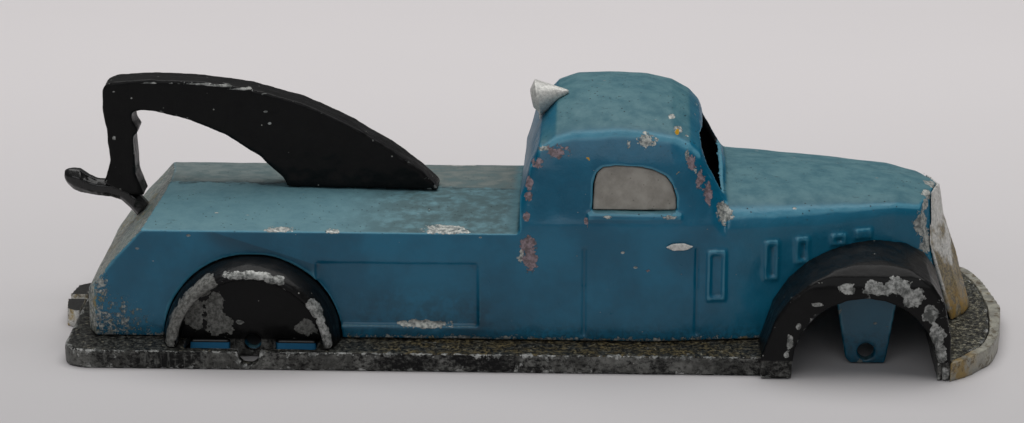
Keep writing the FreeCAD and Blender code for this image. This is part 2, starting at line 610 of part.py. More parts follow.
# the lamp stands on the right of the roof's rear slope, on a thin web
LAMP_SPOT = V(0.8, -4.4, 30.45)
LAMP_WAY = V(1, 0, 0.2).normalize()
LAMP_TURN = FreeCAD.Rotation(V(0, 0, 1), LAMP_WAY)
lamp_cone = doc.addObject("Part::Cone", "lamp_cone")
lamp_cone.setExpression("Radius1", bind("lamp_radius"))
lamp_cone.Radius2 = 0.2
lamp_cone.Height = 3.9
lamp_cone.Placement = FreeCAD.Placement(LAMP_SPOT, LAMP_TURN)
lamp_rim = doc.addObject("Part::Cone", "lamp_rim")
lamp_rim.Radius1 = 1.2
lamp_rim.setExpression("Radius2", bind("lamp_radius"))
lamp_rim.Height = 0.8
lamp_rim.Placement = FreeCAD.Placement(LAMP_SPOT - LAMP_WAY * 0.8, LAMP_TURN)
lamp_web = block("lamp_web", "XZ_Plane", [(0.9, 26.0), (4.2, 29.0), (4.2, 31.1), (0.9, 30.4)], 1.0,
                 4.4)
lamp = less("work_lamp", join("lamp_whole", [lamp_cone, lamp_rim, lamp_web]), [cab_form])

# ------------------------------------------------------------- names and export
NODES = {
    "bed_shell": bed,
    "cab_shell": cab,
    "hood_shell": hood,
    "door_handle_right": handle_right,
    "door_handle_left": handle_left,
    "window_panel_right": panel_right,
    "window_panel_left": panel_left,
    "work_lamp": lamp,
    "crane_jib": jib,
    "tow_hook": hook,
    "radiator_grille": grille,
    "front_bumper": bumper,
    "front_apron": apron_node,
    "front_fender_right": fender_right,
    "front_fender_left": fender_left,
    "running_board_plate": plate_board,
    "tail_board_plate": tail_board,
    "rear_skirt_right": skirt_right,
    "rear_skirt_left": skirt_left,
    "rear_wheel_arch_right": arch_r,
    "rear_wheel_arch_left": arch_l,
    "rear_tow_plate": plate,
    "front_axle_bracket": front_bracket,
    "rear_axle_bracket": rear_bracket,
}
doc.recompute()
faults = []
for item in doc.Objects:
    if any(word in state for state in item.State for word in ("Invalid", "Error")):
        faults.append(f"{item.Name}: {item.State}")
for label, item in NODES.items():
    shape = item.Shape
    if shape.isNull() or not shape.isValid():
        faults.append(f"{label}: shape not valid")
        continue
    item.Label = label
    box = shape.BoundBox
    print(f"{label:20s} solids {len(shape.Solids)} volume {shape.Volume:9.2f} "
          f"x {box.XMin:7.2f} {box.XMax:7.2f} y {box.YMin:7.2f} {box.YMax:7.2f} "
          f"z {box.ZMin:6.2f} {box.ZMax:6.2f}")
if faults:
    raise RuntimeError("; ".join(faults))
os.makedirs("parts", exist_ok=True)
for label, item in NODES.items():
    item.Shape.exportStep(f"parts/{label}.step")
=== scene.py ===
import json
import math
from collections import namedtuple

import bmesh
import bpy
import numpy as np
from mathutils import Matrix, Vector, noise
from mathutils.kdtree import KDTree


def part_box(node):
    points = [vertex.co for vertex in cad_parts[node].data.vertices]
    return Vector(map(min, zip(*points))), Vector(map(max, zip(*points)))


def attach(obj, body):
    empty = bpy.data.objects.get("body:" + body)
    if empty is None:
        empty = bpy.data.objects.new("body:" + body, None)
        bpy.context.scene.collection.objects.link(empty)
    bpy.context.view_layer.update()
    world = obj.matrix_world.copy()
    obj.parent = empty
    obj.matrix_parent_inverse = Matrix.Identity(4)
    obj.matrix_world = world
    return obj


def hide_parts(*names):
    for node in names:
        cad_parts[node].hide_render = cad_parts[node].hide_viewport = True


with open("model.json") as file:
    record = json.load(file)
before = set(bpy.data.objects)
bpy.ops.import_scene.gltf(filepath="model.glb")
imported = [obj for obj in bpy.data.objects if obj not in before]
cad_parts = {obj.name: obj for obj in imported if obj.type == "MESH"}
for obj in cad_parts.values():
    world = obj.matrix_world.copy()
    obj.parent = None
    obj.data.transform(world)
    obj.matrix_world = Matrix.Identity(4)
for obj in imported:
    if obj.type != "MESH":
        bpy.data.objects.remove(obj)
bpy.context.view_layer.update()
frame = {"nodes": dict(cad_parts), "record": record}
MM = 0.001

LOW, HIGH = 0, 1
X, Y, Z = 0, 1, 2


def side_of(node, corner, axis):
    """One side of the node's box, in millimetres."""
    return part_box(node)[corner][axis] / MM


def mount_place(name):
    """Where a mount of the record is, in millimetres."""
    return [v / MM for mount in frame["record"]["mounts"] if mount["name"] == name for v in mount["pos_m"]]


# places on the truck, in millimetres in the part's frame
REAR_AXLE = mount_place("rear_axle_bore")
BOARD_TOP = side_of("running_board_plate", HIGH, Z)
BED_FRONT = side_of("bed_shell", HIGH, X)
BED_BACK = side_of("bed_shell", LOW, X)
BED_TOP = side_of("bed_shell", HIGH, Z)
HOOD_BACK = side_of("hood_shell", LOW, X)
REAR_BRACKET_FRONT = side_of("rear_axle_bracket", HIGH, X)
FRONT_BRACKET_BACK = side_of("front_axle_bracket", LOW, X)
TAIL_SLOPE = BED_BACK + 9.8      # a face behind this that looks back is the tail's slope
CASTING_MIDDLE = 12.0            # height that the hollow sides of the body face
DOOR_SEAMS = (6.8, 20.6)         # x of the two upright door lines
DOOR_FOOT, DOOR_HEAD = BOARD_TOP + 0.8, 14.2
SEAM_WIDTH = 0.22
# y of chipped faces on the near side, just inside the skin
NEAR_ARCH_LIP = side_of("rear_wheel_arch_right", LOW, Y) + 0.15
NEAR_RECESS = side_of("rear_wheel_arch_right", HIGH, Y) - 1.5
NEAR_FENDER = side_of("front_fender_right", LOW, Y) + 0.1
NEAR_JIB = side_of("crane_jib", LOW, Y) + 0.05

# sizes of the remeshed copies
MOST_TRIANGLES = 190000
SPREAD = 0.5                     # how far a value moves to its neighbours' mean in one round
BROAD_ROUNDS = 14                # rounds of smoothing that give the surface without its edges


# ------------------------------------------------------------------ mesh tools
def points_of(mesh):
    flat = np.empty(len(mesh.vertices) * 3)
    mesh.vertices.foreach_get("co", flat)
    return flat.reshape(-1, 3)


def normals_of(mesh):
    flat = np.empty(len(mesh.vertices) * 3)
    mesh.vertex_normals.foreach_get("vector", flat)
    return flat.reshape(-1, 3)


def set_points(mesh, points):
    mesh.vertices.foreach_set("co", np.ascontiguousarray(points).ravel())
    mesh.update()


def edges_of(mesh):
    flat = np.empty(len(mesh.edges) * 2, dtype=np.int64)
    mesh.edges.foreach_get("vertices", flat)
    return flat.reshape(-1, 2)


def averaged(values, edges, rounds):
    """Values, or rows of them, spread to their neighbours along the edges a number of times."""
    values = values.astype(float).copy()
    columns = values.reshape(len(values), -1).T
    start, end = edges.T
    count = np.maximum(np.bincount(edges.ravel(), minlength=len(values)), 1.0)
    for _ in range(rounds):
        for column in columns:
            total = (np.bincount(start, column[end], len(values))
                     + np.bincount(end, column[start], len(values)))
            column += SPREAD * (total / count - column)
    return values


def store(mesh, name, values):
    layer = mesh.attributes.new(name, "FLOAT", "POINT")
    layer.data.foreach_set("value", np.asarray(values, dtype=np.float32))


def lumps(points, size, seed):
    """Smooth noise at the points, about -1 to 1, with a grain of that size in millimetres."""
    shift = Vector((seed * 7.3, seed * 3.1, seed * 5.7))
    scale = 1.0 / (size * MM)
    return np.array([noise.noise(Vector(p) * scale + shift) for p in points])


def bake(obj):
    """Applies the object's modifiers to its mesh."""
    dg = bpy.context.evaluated_depsgraph_get()
    baked = bpy.data.meshes.new_from_object(obj.evaluated_get(dg), depsgraph=dg)
    obj.modifiers.clear()
    obj.data = baked


def dense_copy(name, nodes, voxel):
    """One remeshed mesh out of copies of the CAD meshes of the nodes."""
    joined = bmesh.new()
    for node in nodes:
        source = frame["nodes"][node]
        part = source.data.copy()
        part.transform(source.matrix_world)
        joined.from_mesh(part)
        bpy.data.meshes.remove(part)
    mesh = bpy.data.meshes.new(name)
    joined.to_mesh(mesh)
    joined.free()
    obj = bpy.data.objects.new(name, mesh)
    bpy.context.scene.collection.objects.link(obj)
    mod = obj.modifiers.new("remesh", "REMESH")
    mod.mode = "VOXEL"
    mod.voxel_size = voxel * MM
    mod.adaptivity = 0.0
    bake(obj)
    return obj


def thinned(obj):
    """Takes triangles out until about MOST_TRIANGLES are left, and keeps the stored layers."""
    count = 2 * len(obj.data.polygons)
    if count <= MOST_TRIANGLES:
        return
    before = points_of(obj.data)
    kept = {}
    for name in ("edge", "inside"):
        flat = np.empty(len(before), dtype=np.float32)
        obj.data.attributes[name].data.foreach_get("value", flat)
        kept[name] = flat
    tree = KDTree(len(before))
    for i, spot in enumerate(before):
        tree.insert(spot, i)
    tree.balance()
    mod = obj.modifiers.new("thin", "DECIMATE")
    mod.ratio = MOST_TRIANGLES / count
    bake(obj)
    nearest = np.array([tree.find(spot)[1] for spot in points_of(obj.data)])
    for name, flat in kept.items():
        if name in obj.data.attributes:
            obj.data.attributes.remove(obj.data.attributes[name])
        store(obj.data, name, flat[nearest])


def carve(points, normals, grooves):
    """Depth in millimetres to push each point in, from upright grooves (x, low, high, depth, half)."""
    depth = np.zeros(len(points))
    side = np.abs(normals[:, 1]) > 0.5
    for x, low, high, deep, half in grooves:
        near = np.exp(-((points[:, 0] / MM - x) / half) ** 2)
        within = (points[:, 2] / MM > low) & (points[:, 2] / MM < high)
        depth += deep * near * side * within
    return depth


def box_of(nodes):
    """Low and high corner of the box round the nodes."""
    boxes = [[np.array(corner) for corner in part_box(node)] for node in nodes]
    return np.min([box[0] for box in boxes], axis=0), np.max([box[1] for box in boxes], axis=0)


def inwardness(spots, normals):
    """Over 0 where a point faces the middle of the casting, which is on its hollow side.

    The outer slope of the tail also looks that way low down, so it is set apart.
    """
    facing = -(normals[:, 1] * spots[:, 1] + normals[:, 2] * (spots[:, 2] - CASTING_MIDDLE * MM)) / MM
    facing[(normals[:, 0] < -0.25) & (spots[:, 0] < TAIL_SLOPE * MM)] = -1.0
    return facing


def cast_piece(nodes, voxel, soften, uneven, grain, seed, hollow):
    """A copy of CAD nodes with soft cast edges and a slightly uneven skin, which stands for them."""
    obj = dense_copy("cast_" + nodes[0], nodes, voxel)
    dense = obj.data
    edges = edges_of(dense)
    low, high = box_of(nodes)
    spots = np.clip(averaged(points_of(dense), edges, soften), low, high)
    set_points(dense, spots)
    normals = normals_of(dense)
    bend = ((spots - averaged(spots, edges, BROAD_ROUNDS)) * normals).sum(axis=1) / MM
    store(dense, "edge", averaged(bend, edges, 1))
    push = uneven * (lumps(spots, grain, seed) + 0.5 * lumps(spots, grain * 0.4, seed + 9)) - uneven
    if hollow:
        facing = inwardness(spots, normals)
        store(dense, "inside", averaged(facing > 1.0, edges, 3))
        push -= carve(spots, normals, DOOR_GROOVES) * (facing < 0.0)
    else:
        store(dense, "inside", np.zeros(len(spots)))
    set_points(dense, np.clip(spots + normals * (push * MM)[:, None], low, high))
    thinned(obj)
    obj.data.polygons.foreach_set("use_smooth", [True] * len(obj.data.polygons))
    obj.data.materials.clear()
    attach(obj, "root")
    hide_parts(*nodes)
    return obj


# ------------------------------------------------------------------ material tools
class Paint:
    """A small builder of procedural materials; positions are in millimetres."""

    def __init__(self, name, fine=0.5, mid=2.0, rough=0.6):
        self.material = bpy.data.materials.new(name)
        self.material.use_nodes = True
        self.tree = self.material.node_tree
        self.shader = self.tree.nodes["Principled BSDF"]
        coords = self.tree.nodes.new("ShaderNodeTexCoord")
        scaled = self.tree.nodes.new("ShaderNodeVectorMath")
        scaled.operation = "SCALE"
        self.tree.links.new(coords.outputs["Object"], scaled.inputs[0])
        scaled.inputs["Scale"].default_value = 1.0 / MM
        self.place = scaled.outputs["Vector"]
        geometry = self.tree.nodes.new("ShaderNodeNewGeometry")
        self.fore, self.out, self.up = self.parts_of(geometry.outputs["Normal"])
        self.x, self.y, self.z = self.parts_of(self.place)
        self.edge, self.inside = self.layer("edge"), self.layer("inside")
        # two grains of noise that the whole material shares
        self.fine = self.speckle(fine, 4.0, 0.7)
        self.mid = self.speckle(mid, 5.0, rough)

    def parts_of(self, vector):
        node = self.tree.nodes.new("ShaderNodeSeparateXYZ")
        self.tree.links.new(vector, node.inputs[0])
        return node.outputs

    def put(self, socket, value):
        if isinstance(value, bpy.types.NodeSocket):
            self.tree.links.new(value, socket)
        elif isinstance(value, tuple) and len(value) == 3 and socket.type == "RGBA":
            socket.default_value = (*value, 1.0)
        else:
            socket.default_value = value

    def math(self, operation, a, b=0.0):
        node = self.tree.nodes.new("ShaderNodeMath")
        node.operation = operation
        self.put(node.inputs[0], a)
        self.put(node.inputs[1], b)
        return node.outputs[0]

    def chain(self, operation, first, *others):
        for other in others:
            first = self.math(operation, first, other)
        return first

    def times(self, *values):
        return self.chain("MULTIPLY", *values)

    def plus(self, *values):
        return self.chain("ADD", *values)

    def most(self, *values):
        return self.chain("MAXIMUM", *values)

    def minus(self, a, b):
        return self.math("SUBTRACT", a, b)

    def absolute(self, value):
        return self.math("ABSOLUTE", value)

    def step(self, value, low, high):
        """0 at low and beyond, 1 at high and beyond, smooth between; low may be the larger."""
        node = self.tree.nodes.new("ShaderNodeMapRange")
        node.interpolation_type = "SMOOTHSTEP"
        for key, item in (("Value", value), ("From Min", low), ("From Max", high)):
            self.put(node.inputs[key], item)
        return node.outputs[0]

    def speckle(self, size, detail=3.0, rough=0.55, stretch=None):
        """Noise with a grain of that size in millimetres, 0 to 1 around 0.5."""
        node = self.tree.nodes.new("ShaderNodeTexNoise")
        self.put(node.inputs["Vector"], self.stretched(stretch))
        self.put(node.inputs["Scale"], 1.0 / size)
        self.put(node.inputs["Detail"], detail)
        self.put(node.inputs["Roughness"], rough)
        return node.outputs["Fac"]

    def cells(self, size, stretch=None):
        """Distance to the nearest of some scattered points, 0 on each."""
        node = self.tree.nodes.new("ShaderNodeTexVoronoi")
        self.put(node.inputs["Vector"], self.stretched(stretch))
        self.put(node.inputs["Scale"], 1.0 / size)
        return node.outputs["Distance"]

    def stretched(self, stretch):
        if stretch is None:
            return self.place
        node = self.tree.nodes.new("ShaderNodeVectorMath")
        node.operation = "MULTIPLY"
        self.put(node.inputs[0], self.place)
        node.inputs[1].default_value = stretch
        return node.outputs["Vector"]

    def layer(self, name):
        node = self.tree.nodes.new("ShaderNodeAttribute")
        node.attribute_name = name
        return node.outputs["Fac"]

    def blend(self, share, low, high):
        node = self.tree.nodes.new("ShaderNodeMix")
        node.data_type = "RGBA"
        self.put(node.inputs["Factor"], share)
        self.put(node.inputs[6], low)
        self.put(node.inputs[7], high)
        return node.outputs[2]

    def fade(self, share, low, high):
        node = self.tree.nodes.new("ShaderNodeMix")
        node.data_type = "FLOAT"
        self.put(node.inputs["Factor"], share)
        self.put(node.inputs[2], low)
        self.put(node.inputs[3], high)
        return node.outputs[0]

    def mottle(self, grain, low, high, dark, light):
        """Two display colours mixed by a grain."""
        return self.blend(self.step(grain, low, high), srgb(*dark), srgb(*light))

    def flank(self):
        """1 on upright faces, 0 on faces that look up."""
        return self.step(self.up, 0.4, 0.2)

    def coat(self, specular, weight, rough):
        self.put(self.shader.inputs["Specular IOR Level"], specular)
        self.put(self.shader.inputs["Coat Weight"], weight)
        self.shader.inputs["Coat Roughness"].default_value = rough

    def finish(self, colour, rough, metal, height, deep):
        self.put(self.shader.inputs["Base Color"], colour)
        self.put(self.shader.inputs["Roughness"], rough)
        self.put(self.shader.inputs["Metallic"], metal)
        bump = self.tree.nodes.new("ShaderNodeBump")
        bump.inputs["Distance"].default_value = deep * MM
        self.put(bump.inputs["Height"], height)
        self.put(self.shader.inputs["Normal"], bump.outputs["Normal"])
        return self.material


def srgb(r, g, b):
    """Linear colour from display values 0 to 255."""
    return tuple((v / 255 / 12.92) if v <= 10 else ((v / 255 + 0.055) / 1.055) ** 2.4
                 for v in (r, g, b))


# ------------------------------------------------------------------ blue paint
BEHIND_CAB = (BED_FRONT - 0.3, BED_FRONT - 1.8)


def blue_flanks(p, wide, tail_slope):
    """Blue sides, lighter on the hood, and worn to bare metal on the tail's slope."""
    side = p.mottle(wide, 0.35, 0.7, (8, 87, 115), (18, 105, 136))
    side = p.blend(p.times(p.step(p.x, HOOD_BACK - 2.2, HOOD_BACK + 3.8), 0.3), side, srgb(34, 122, 150))
    worn = p.mottle(p.fine, 0.4, 0.6, (84, 82, 66), (176, 170, 142))
    return p.blend(p.times(tail_slope, 0.75), side, worn)


def blue_tops(p):
    """Dusty upper faces, lighter on the bed and greyer on the bed near the cab."""
    dusty = p.mottle(p.mid, 0.3, 0.75, (84, 124, 132), (58, 102, 114))
    bed = p.times(p.step(p.x, *BEHIND_CAB), p.step(p.z, 22.0, 19.0))
    dusty = p.blend(p.times(bed, 0.40), dusty, srgb(112, 150, 160))
    near_cab = p.step(p.x, BED_FRONT - 24.8, BED_FRONT - 11.8)
    grey = p.times(bed, near_cab, p.step(p.mid, 0.30, 0.60))
    return p.blend(p.times(grey, 0.85), dusty, srgb(66, 88, 90))


def deck_dirt(p, wide, colour):
    """Greyer dirt on the deck beyond its ridge, with a ragged dark rim."""
    deck = p.times(p.step(p.x, *BEHIND_CAB), p.step(p.z, BED_TOP - 2.3, BED_TOP - 1.7))
    beyond = p.plus(p.y, p.times(p.minus(p.mid, 0.5), 3.0))
    dirt_and_corner_shade = p.times(p.step(beyond, -0.4, 0.4), deck, p.fade(wide, 0.6, 1.0))
    colour = p.blend(dirt_and_corner_shade, colour, p.mottle(p.mid, 0.35, 0.65, (84, 96, 94), (118, 124, 120)))
    rim = p.times(p.step(p.absolute(beyond), 0.7, 0.1), deck, p.step(p.mid, 0.40, 0.62))
    return p.blend(rim, colour, srgb(42, 66, 72))


def painted_fold_shade(p, colour):
    """Painted shade: a soft dark band along a fold that runs from the deck's edge down over the rear arch.
    """
    ahead = p.minus(p.x, REAR_AXLE[X])
    above = p.plus(p.z, -11.6, p.times(p.minus(ahead, 8.4), 0.32))
    along = p.times(p.step(ahead, -7.5, -4.0), p.step(ahead, 10.0, 7.0), p.flank(),
                    p.step(p.out, -0.3, -0.6))
    fold_shade_band = p.times(p.step(above, -2.2, -0.1), p.step(above, 0.15, 0.0))
    return p.blend(p.times(fold_shade_band, along, 0.45), colour, srgb(12, 44, 60))


def grime_and_corner_shade(p, colour):
    """Painted shade in the concave corners, and grime low on the flanks, on the bed's side and in the door
    lines.
    """
    # painted shade: concave corners darkened
    corner = p.times(p.step(p.times(p.edge, -1.0), 0.03, 0.13), p.step(p.mid, 0.2, 0.5))
    low = p.times(p.step(p.z, 5.5, 2.4), p.step(p.fine, 0.42, 0.62), 0.6)
    behind = p.minus(BED_FRONT, p.x)
    cloud = p.times(p.step(behind, 23.8, 15.8), p.step(behind, -0.2, 4.8), p.step(p.z, 11.0, 5.0),
                    p.step(p.mid, 0.38, 0.60), p.flank(), 0.55)
    share = p.most(corner, low, cloud)
    for x in DOOR_SEAMS:
        seam = p.times(p.step(p.absolute(p.minus(p.x, x)), 0.2, 0.06),
                       p.step(p.z, DOOR_FOOT - 0.1, DOOR_FOOT + 0.4),
                       p.step(p.z, DOOR_HEAD + 0.1, DOOR_HEAD - 0.6), p.flank(), p.fade(p.mid, 0.05, 0.35))
        share = p.most(share, seam)
    return p.blend(p.times(share, 0.8), colour, srgb(20, 28, 32))


def painted_crease_highlights(p, colour):
    """Painted highlights: convex creases painted lighter, and a painted highlight line on edges that roll
    from side to top.
    """
    crease = p.times(p.step(p.edge, 0.035, 0.10), p.step(p.z, 3.6, 5.0), p.fade(p.mid, 0.25, 0.95))
    colour = p.blend(crease, colour, srgb(84, 152, 176))
    rolled = p.times(p.step(p.up, 0.40, 0.52), p.step(p.up, 0.80, 0.66),
                     p.step(p.absolute(p.out), 0.45, 0.6), p.step(p.z, 13.0, 14.0),
                     p.fade(p.mid, 0.3, 0.9))
    return p.blend(rolled, colour, srgb(96, 160, 182))


def dark_pits(p):
    """Black pits and scuffs where dirt has settled in the upper faces."""
    pits = p.times(p.step(p.cells(0.62), 0.20, 0.09), p.step(p.speckle(3.5, 3.0), 0.48, 0.58))
    scuffs = p.times(p.step(p.speckle(0.5, 5.0, 0.75, (0.22, 0.8, 1.0)), 0.60, 0.68),
                     p.step(p.speckle(6.0, 2.0), 0.42, 0.60), 0.45)
    return p.times(p.most(pits, scuffs), p.step(p.up, 0.1, 0.6))


def light_nicks(p):
    """Small nicks of bare metal, longer than they are high."""
    large = p.times(p.step(p.cells(2.4, (0.6, 1.0, 1.0)), 0.08, 0.045),
                    p.step(p.speckle(5.0, 2.0), 0.47, 0.52))
    small = p.times(p.step(p.cells(1.3, (0.5, 1.0, 1.0)), 0.05, 0.03),
                    p.step(p.speckle(7.0, 2.0), 0.45, 0.55), 0.8)
    return p.most(large, small)


def crumbly_places(p, tail_slope):
    """Where crumbs of bare metal lie: round the foot and on the tail."""
    above, ahead = p.minus(p.z, BOARD_TOP), p.minus(p.x, BED_BACK)
    behind_bracket = p.step(p.x, FRONT_BRACKET_BACK - 3.2, FRONT_BRACKET_BACK - 4.2)
    foot = p.times(p.step(above, 1.0, 0.2), p.step(above, -0.1, 0.0), behind_bracket)
    tail = p.times(p.step(ahead, 12.8, 4.8), p.step(p.z, 10.0, 4.0))
    end = p.times(p.step(ahead, 5.3, 2.8), p.step(p.z, 17.0, 13.0))
    return p.times(p.most(foot, p.times(tail_slope, 0.9), tail, end), p.step(above, -0.15, -0.05))


def blue_chips(p, tail_slope, colour):
    """Chips: silver, primer brown, and a few yellow specks. Gives the colour and the two bare layers."""
    place = crumbly_places(p, tail_slope)
    crumbs = p.plus(p.speckle(0.55, 5.0, 0.8), p.times(place, 0.20))
    crumbs = p.times(p.step(crumbs, 0.67, 0.72), p.step(place, 0.05, 0.4))
    torn = p.times(p.minus(p.speckle(0.75, 5.0, 0.72), 0.5), 2.3)
    chip = p.step(p.plus(torn, p.layer("chip")), 0.02, 0.06)
    primer = p.step(p.plus(torn, p.layer("primer")), 0.02, 0.06)
    spark = p.step(p.plus(torn, p.layer("spark")), 0.1, 0.2)
    worn = p.step(p.plus(p.edge, p.minus(p.speckle(1.4, 5.0, 0.7), 0.66)), 0.09, 0.10)
    silver = p.most(chip, worn, light_nicks(p), crumbs)
    pale = p.mottle(p.fine, 0.35, 0.65, (112, 118, 118), (196, 198, 192))
    tint = p.times(place, p.step(p.speckle(2.6, 3.0), 0.54, 0.62), 0.8)
    colour = p.blend(silver, colour, p.blend(tint, pale, srgb(158, 140, 88)))
    colour = p.blend(primer, colour, p.mottle(p.fine, 0.38, 0.62, (104, 92, 94), (150, 134, 140)))
    colour = p.blend(spark, colour, srgb(178, 138, 30))
    return colour, silver, primer


def bracket_painted_light(p, colour):
    """The axle brackets: painted light on the rear feet, coloured brighter blue, a near-black band just
    under the board's top above them, and painted shade on the lugs at the front.
    """
    rear = p.step(p.x, REAR_BRACKET_FRONT + 1.0, REAR_BRACKET_FRONT + 0.8)
    # painted light: the rear feet are coloured brighter blue as if lit
    foot = p.times(p.step(p.z, 1.9, 1.8), rear, p.step(p.absolute(p.y), 15.3, 15.5))
    colour = p.blend(foot, colour, srgb(52, 124, 168))
    # a near-black band from the feet up to the board's top
    dark_band = p.times(p.step(p.z, 1.8, 1.9), p.step(p.z, BOARD_TOP + 0.02, BOARD_TOP - 0.04), rear)
    colour = p.blend(dark_band, colour, srgb(20, 21, 22))
    # painted shade darkens the lower front lugs
    front = p.step(p.x, FRONT_BRACKET_BACK - 4.2, FRONT_BRACKET_BACK - 3.2)
    shaded = p.times(front, p.step(p.z, 10.5, 9.0), 0.45)
    return p.blend(shaded, colour, srgb(4, 26, 38))


def blue_paint():
    p = Paint("blue_enamel_worn", 0.5, 2.2, 0.62)
    wide = p.speckle(9.0, 4.0, 0.6)
    top = p.step(p.up, 0.55, 0.9)
    tail_slope = p.times(p.step(p.fore, -0.25, -0.5), p.step(p.x, TAIL_SLOPE + 2.0, TAIL_SLOPE))
    colour = p.blend(top, blue_flanks(p, wide, tail_slope), blue_tops(p))
    colour = deck_dirt(p, wide, colour)
    # painted shade along the fold above the rear arch
    colour = painted_fold_shade(p, colour)
    colour = grime_and_corner_shade(p, colour)
    # painted highlights on the creases and on edges that roll from side to top
    colour = painted_crease_highlights(p, colour)
    pits = dark_pits(p)
    colour = p.blend(pits, colour, srgb(26, 40, 44))
    colour, silver, primer = blue_chips(p, tail_slope, colour)
    hollow = p.step(p.inside, 0.4, 0.8)
    colour = p.blend(hollow, colour, srgb(16, 19, 21))
    # painted light and shade on the axle brackets
    colour = bracket_painted_light(p, colour)
    bare = p.most(silver, primer)
    rough = p.plus(p.fade(top, 0.34, 0.6), p.times(p.minus(p.mid, 0.5), 0.35))
    rough = p.fade(p.most(bare, hollow), rough, 0.6)
    height = p.plus(p.times(p.speckle(1.3, 5.0, 0.6), 0.8), p.times(p.fine, 0.25))
    height = p.minus(height, p.times(bare, 0.55))
    height = p.minus(height, p.times(pits, 0.35))
    ends = p.step(p.absolute(p.fore), 0.2, 0.6)
    gloss = p.times(p.minus(1.0, top), p.minus(1.0, bare), p.minus(1.0, ends), 0.55)
    p.coat(p.fade(ends, 0.3, 0.04), gloss, 0.16)
    p.shader.inputs["Coat IOR"].default_value = 1.42
    return p.finish(colour, rough, p.times(silver, 0.6), height, 0.12)


# ------------------------------------------------------------------ black paint
SKIRT_TOP = (BOARD_TOP + 0.1, BOARD_TOP - 0.2)


def board_dust(p, top, colour):
    """Gritty grey dust on the boards, yellow-brown along the doors. Gives the colour and the grit."""
    board = p.times(top, p.step(p.z, BOARD_TOP + 1.6, BOARD_TOP + 0.2))
    grit = p.times(board, p.step(p.speckle(0.6, 5.0, 0.85), 0.45, 0.58))
    middle = p.times(p.step(p.x, -24.0, -12.0), p.step(p.x, 34.0, 20.0), p.step(p.mid, 0.35, 0.6))
    dust = p.blend(middle, srgb(98, 99, 94), srgb(134, 120, 84))
    colour = p.blend(p.times(grit, p.fade(p.mid, 0.45, 0.95)), colour, dust)
    flecks = p.times(board, p.step(p.speckle(0.7, 5.0, 0.85), 0.59, 0.65))
    return p.blend(p.times(flecks, 0.8), colour, srgb(178, 172, 150)), grit


def crust(p, top, crumbly, colour):
    """A crumbly olive and white crust on the upper faces."""
    share = p.step(p.speckle(0.7, 5.0, 0.9), 0.66 - crumbly, 0.72 - crumbly)
    tint = p.mottle(p.fine, 0.40, 0.62, (66, 62, 46), (186, 182, 160))
    return p.blend(p.times(share, top, 0.7), colour, tint)


def scuffed_skirt(p, colour):
    """Grey scuffs on the boards' upright edge, with streaks near the tail."""
    marks = p.plus(p.speckle(0.5, 5.0, 0.8, (0.7, 1.0, 1.0)), p.times(p.speckle(9.0, 2.0), 0.7))
    scuffs = p.times(p.step(p.z, *SKIRT_TOP), p.step(p.absolute(p.up), 0.5, 0.2), p.step(marks, 0.72, 0.98))
    grey = p.mottle(p.mid, 0.35, 0.65, (72, 72, 69), (124, 124, 120))
    colour = p.blend(p.times(scuffs, 0.85), colour, grey)
    streaks = p.times(p.step(p.speckle(0.5, 4.0, 0.7, (1.0, 1.0, 0.12)), 0.52, 0.66),
                      p.step(p.x, REAR_AXLE[X] + 10.0, REAR_AXLE[X]), p.step(p.z, *SKIRT_TOP),
                      p.step(p.up, 0.5, 0.2))
    return p.blend(p.times(streaks, 0.5), colour, srgb(104, 105, 102))


def black_chips(p, colour):
    """Grey worn patches and brighter scraped ones. Gives the colour and the two layers."""
    torn = p.times(p.minus(p.speckle(1.3, 4.0, 0.62), 0.5), 2.2)
    chip = p.step(p.plus(torn, p.layer("chip")), -0.02, 0.03)
    grey = p.step(p.plus(torn, p.layer("primer")), -0.02, 0.03)
    patchy = p.times(p.minus(p.speckle(1.5, 5.0, 0.7), 0.64), 0.9)
    patchy = p.plus(patchy, p.times(p.step(p.z, BOARD_TOP + 0.4, BOARD_TOP - 0.1), 0.07))
    worn = p.times(p.step(p.plus(p.edge, patchy), 0.09, 0.11), p.step(p.fine, 0.3, 0.5))
    bare = p.most(chip, worn)
    colour = p.blend(grey, colour, p.mottle(p.fine, 0.35, 0.65, (78, 78, 75), (130, 130, 126)))
    scraped = p.plus(p.times(p.fine, 0.5), p.times(p.mid, 0.5))
    colour = p.blend(bare, colour, p.mottle(scraped, 0.40, 0.62, (84, 86, 84), (182, 183, 180)))
    return colour, bare, grey


def black_paint(name="black_enamel_worn", coat=0.14, crumbly=0.0):
    p = Paint(name, 0.45, 2.0, 0.65)
    top = p.step(p.up, 0.35, 0.9)
    colour = p.mottle(p.mid, 0.35, 0.7, (5, 5, 6), (14, 14, 14))
    colour, grit = board_dust(p, top, colour)
    dots = p.times(p.step(p.cells(1.5), 0.075, 0.04), p.step(p.speckle(2.5, 3.0), 0.44, 0.56))
    colour = p.blend(p.times(dots, 0.85), colour, srgb(172, 172, 166))
    if crumbly:
        colour = crust(p, top, crumbly, colour)
    colour = scuffed_skirt(p, colour)
    colour, bare, grey = black_chips(p, colour)
    rough = p.fade(p.step(p.mid, 0.3, 0.7), 0.34, 0.55)
    rough = p.fade(p.most(grit, grey, bare), rough, 0.6)
    height = p.plus(p.times(p.speckle(1.1, 5.0, 0.62), 0.8), p.times(p.fine, 0.3))
    height = p.plus(p.minus(height, p.times(bare, 0.5)), p.times(grit, 0.4))
    p.coat(0.12, coat, 0.14)
    return p.finish(colour, rough, p.times(bare, 0.6), height, 0.13)


